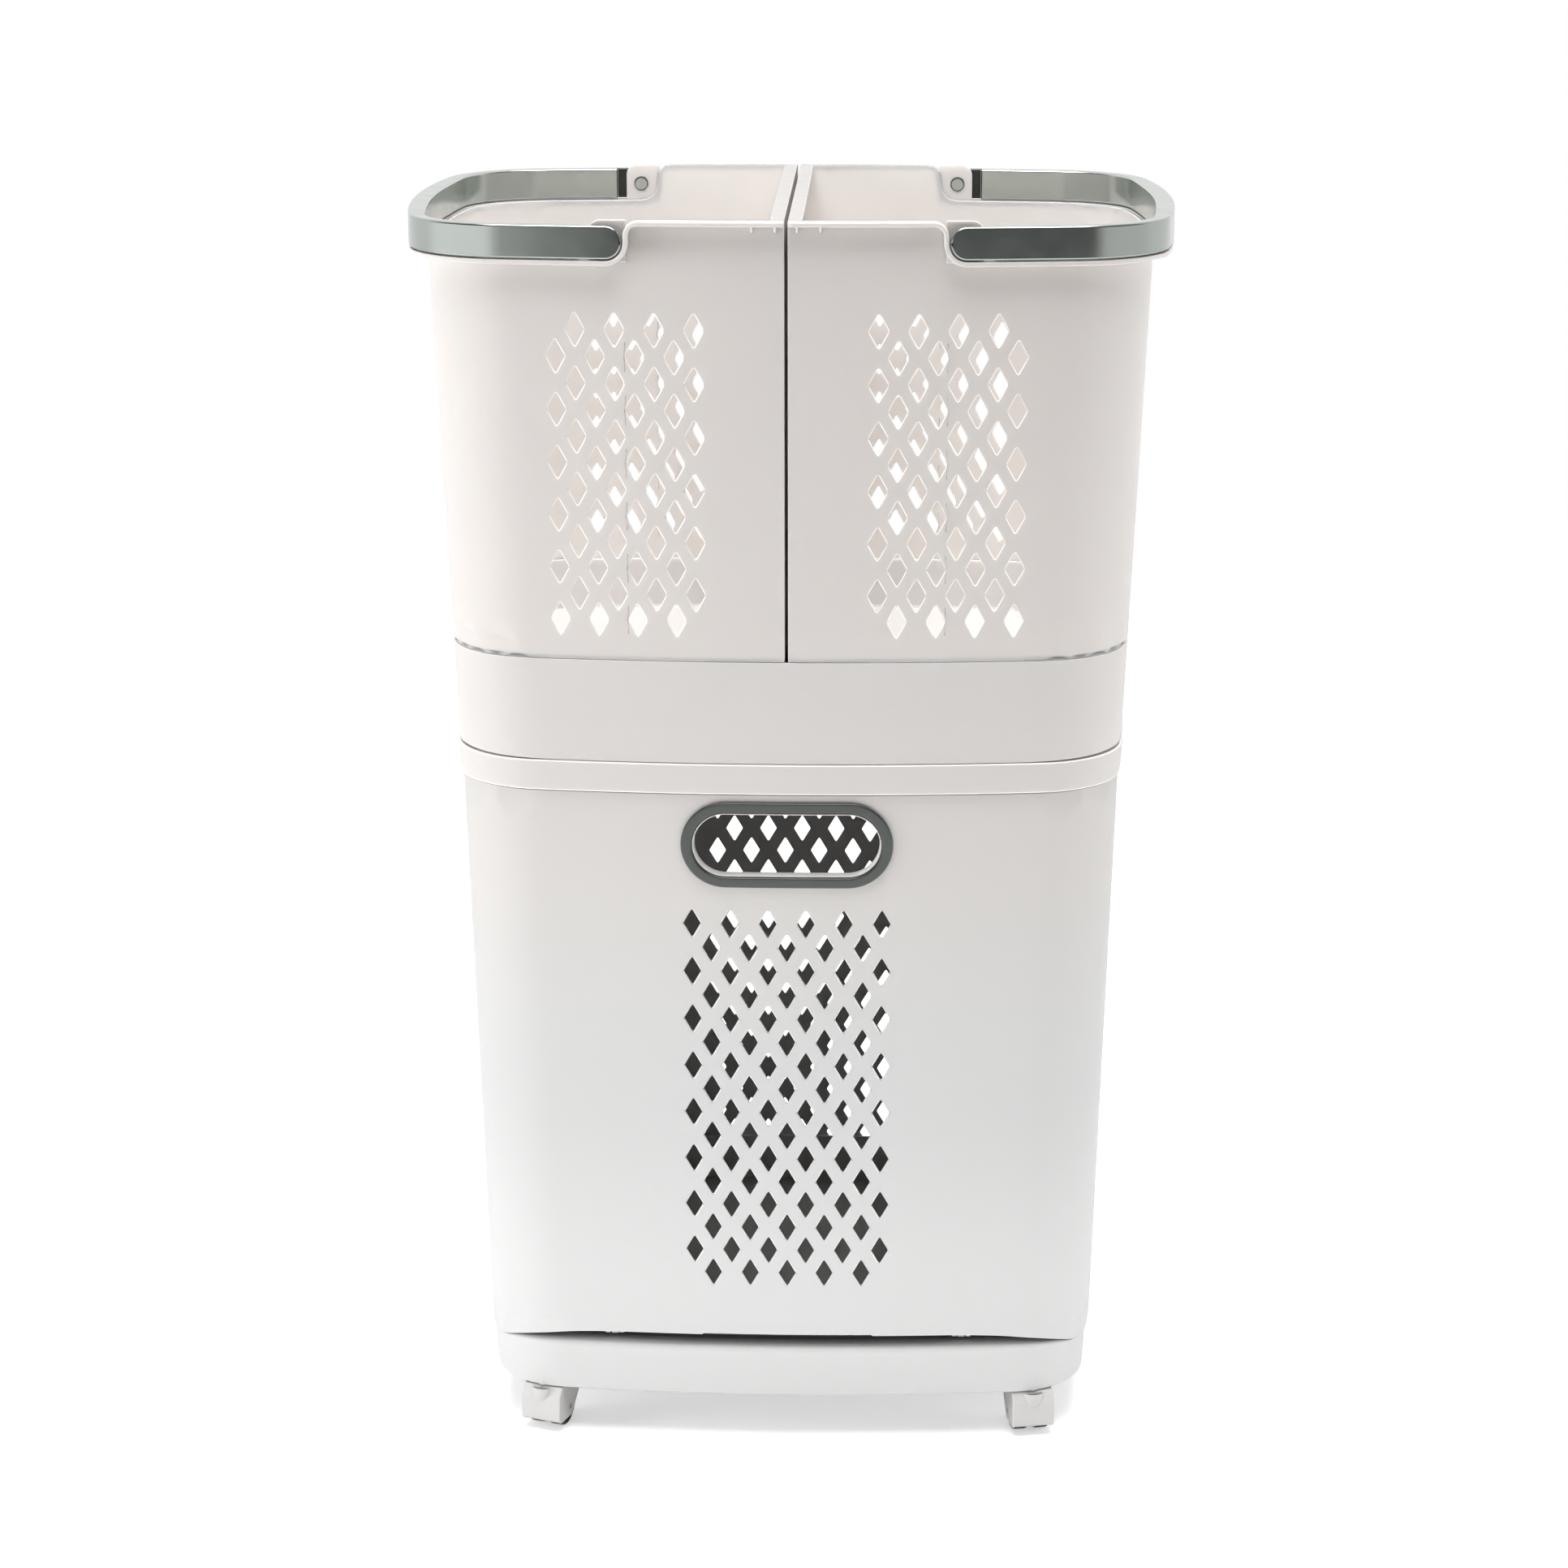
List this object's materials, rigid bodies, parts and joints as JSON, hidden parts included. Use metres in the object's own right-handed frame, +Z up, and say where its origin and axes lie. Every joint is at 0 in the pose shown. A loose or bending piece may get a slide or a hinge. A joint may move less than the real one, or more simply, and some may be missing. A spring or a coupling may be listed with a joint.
{
  "type": "laundry sorter on wheels",
  "caption": "Laundry sorter on casters: lift-out carry baskets with folding handles stand on a tray above a tilt-out bin with a hand hole.",
  "frame": {"origin": "on the floor, under the centre of the base", "axes": "+X to the right seen from the front, +Y to the back, +Z up"},
  "size_m": [0.4816, 0.3568, 0.8047],
  "materials": {
    "body_white": "fine satin",
    "bucket_white": "fine satin",
    "grip_grey": "smooth gloss",
    "caster_grey": "satin",
    "wheel_dark": "matte",
    "pin_steel": "turned"
  },
  "bodies": {
    "frame": {"base_tray": "body_white", "rear_housing": "body_white", "top_band": "body_white", "upper_tray": "body_white", "hinge_pin_left": "pin_steel", "hinge_pin_right": "pin_steel"},
    "bin": {"bin_front": "body_white", "bin_bucket": "bucket_white", "grip_ring": "grip_grey"},
    "left_basket_body": {"left_basket": "body_white"},
    "right_basket_body": {"right_basket": "body_white"},
    "left_handle_body": {"left_handle": "grip_grey"},
    "right_handle_body": {"right_handle": "grip_grey"},
    "caster_front_left": {"caster_front_left_hood": "caster_grey", "caster_front_left_stem": "pin_steel", "caster_front_left_axle": "pin_steel"},
    "caster_front_left_wheel_a": {"caster_front_left_wheel_a": "wheel_dark"},
    "caster_front_left_wheel_b": {"caster_front_left_wheel_b": "wheel_dark"},
    "caster_front_right": {"caster_front_right_hood": "caster_grey", "caster_front_right_stem": "pin_steel", "caster_front_right_axle": "pin_steel"},
    "caster_front_right_wheel_a": {"caster_front_right_wheel_a": "wheel_dark"},
    "caster_front_right_wheel_b": {"caster_front_right_wheel_b": "wheel_dark"},
    "caster_back_left": {"caster_back_left_hood": "caster_grey", "caster_back_left_stem": "pin_steel", "caster_back_left_axle": "pin_steel"},
    "caster_back_left_wheel_a": {"caster_back_left_wheel_a": "wheel_dark"},
    "caster_back_left_wheel_b": {"caster_back_left_wheel_b": "wheel_dark"},
    "caster_back_right": {"caster_back_right_hood": "caster_grey", "caster_back_right_stem": "pin_steel", "caster_back_right_axle": "pin_steel"},
    "caster_back_right_wheel_a": {"caster_back_right_wheel_a": "wheel_dark"},
    "caster_back_right_wheel_b": {"caster_back_right_wheel_b": "wheel_dark"}
  },
  "joints": [
    {"name": "bin_tilt", "type": "hinge", "parent": "frame", "child": "bin", "pos_m": [0, -0.113, 0.0735], "axis": [1, 0, 0], "range_deg": [0, 25]},
    {"name": "left_basket_lift", "type": "slide", "parent": "frame", "child": "left_basket_body", "axis": [0, 0, 1], "range_m": [0, 0.3]},
    {"name": "right_basket_lift", "type": "slide", "parent": "frame", "child": "right_basket_body", "axis": [0, 0, 1], "range_m": [0, 0.3]},
    {"name": "left_handle_fold", "type": "hinge", "parent": "left_basket_body", "child": "left_handle_body", "pos_m": [-0.1077, 0, 0.7918], "axis": [0, 1, 0], "range_deg": [0, 90]},
    {"name": "right_handle_fold", "type": "hinge", "parent": "right_basket_body", "child": "right_handle_body", "pos_m": [0.1077, 0, 0.7918], "axis": [0, -1, 0], "range_deg": [0, 90]},
    {"name": "caster_front_left_swivel", "type": "hinge", "parent": "frame", "child": "caster_front_left", "pos_m": [-0.161, -0.115, 0.057], "axis": [0, 0, 1], "continuous": true},
    {"name": "caster_front_left_wheel_a_spin", "type": "hinge", "parent": "caster_front_left", "child": "caster_front_left_wheel_a", "pos_m": [-0.15792, -0.10654, 0.013], "axis": [0.9397, -0.342, 0], "continuous": true},
    {"name": "caster_front_left_wheel_b_spin", "type": "hinge", "parent": "caster_front_left", "child": "caster_front_left_wheel_b", "pos_m": [-0.15792, -0.10654, 0.013], "axis": [0.9397, -0.342, 0], "continuous": true},
    {"name": "caster_front_right_swivel", "type": "hinge", "parent": "frame", "child": "caster_front_right", "pos_m": [0.161, -0.115, 0.057], "axis": [0, 0, 1], "continuous": true},
    {"name": "caster_front_right_wheel_a_spin", "type": "hinge", "parent": "caster_front_right", "child": "caster_front_right_wheel_a", "pos_m": [0.15928, -0.10616, 0.013], "axis": [0.9816, 0.1908, 0], "continuous": true},
    {"name": "caster_front_right_wheel_b_spin", "type": "hinge", "parent": "caster_front_right", "child": "caster_front_right_wheel_b", "pos_m": [0.15928, -0.10616, 0.013], "axis": [0.9816, 0.1908, 0], "continuous": true},
    {"name": "caster_back_left_swivel", "type": "hinge", "parent": "frame", "child": "caster_back_left", "pos_m": [-0.161, 0.115, 0.057], "axis": [0, 0, 1], "continuous": true},
    {"name": "caster_back_left_wheel_a_spin", "type": "hinge", "parent": "caster_back_left", "child": "caster_back_left_wheel_a", "pos_m": [-0.15928, 0.12384, 0.013], "axis": [0.9816, -0.1908, 0], "continuous": true},
    {"name": "caster_back_left_wheel_b_spin", "type": "hinge", "parent": "caster_back_left", "child": "caster_back_left_wheel_b", "pos_m": [-0.15928, 0.12384, 0.013], "axis": [0.9816, -0.1908, 0], "continuous": true},
    {"name": "caster_back_right_swivel", "type": "hinge", "parent": "frame", "child": "caster_back_right", "pos_m": [0.161, 0.115, 0.057], "axis": [0, 0, 1], "continuous": true},
    {"name": "caster_back_right_wheel_a_spin", "type": "hinge", "parent": "caster_back_right", "child": "caster_back_right_wheel_a", "pos_m": [0.15928, 0.12384, 0.013], "axis": [0.9816, 0.1908, 0], "continuous": true},
    {"name": "caster_back_right_wheel_b_spin", "type": "hinge", "parent": "caster_back_right", "child": "caster_back_right_wheel_b", "pos_m": [0.15928, 0.12384, 0.013], "axis": [0.9816, 0.1908, 0], "continuous": true}
  ]
}
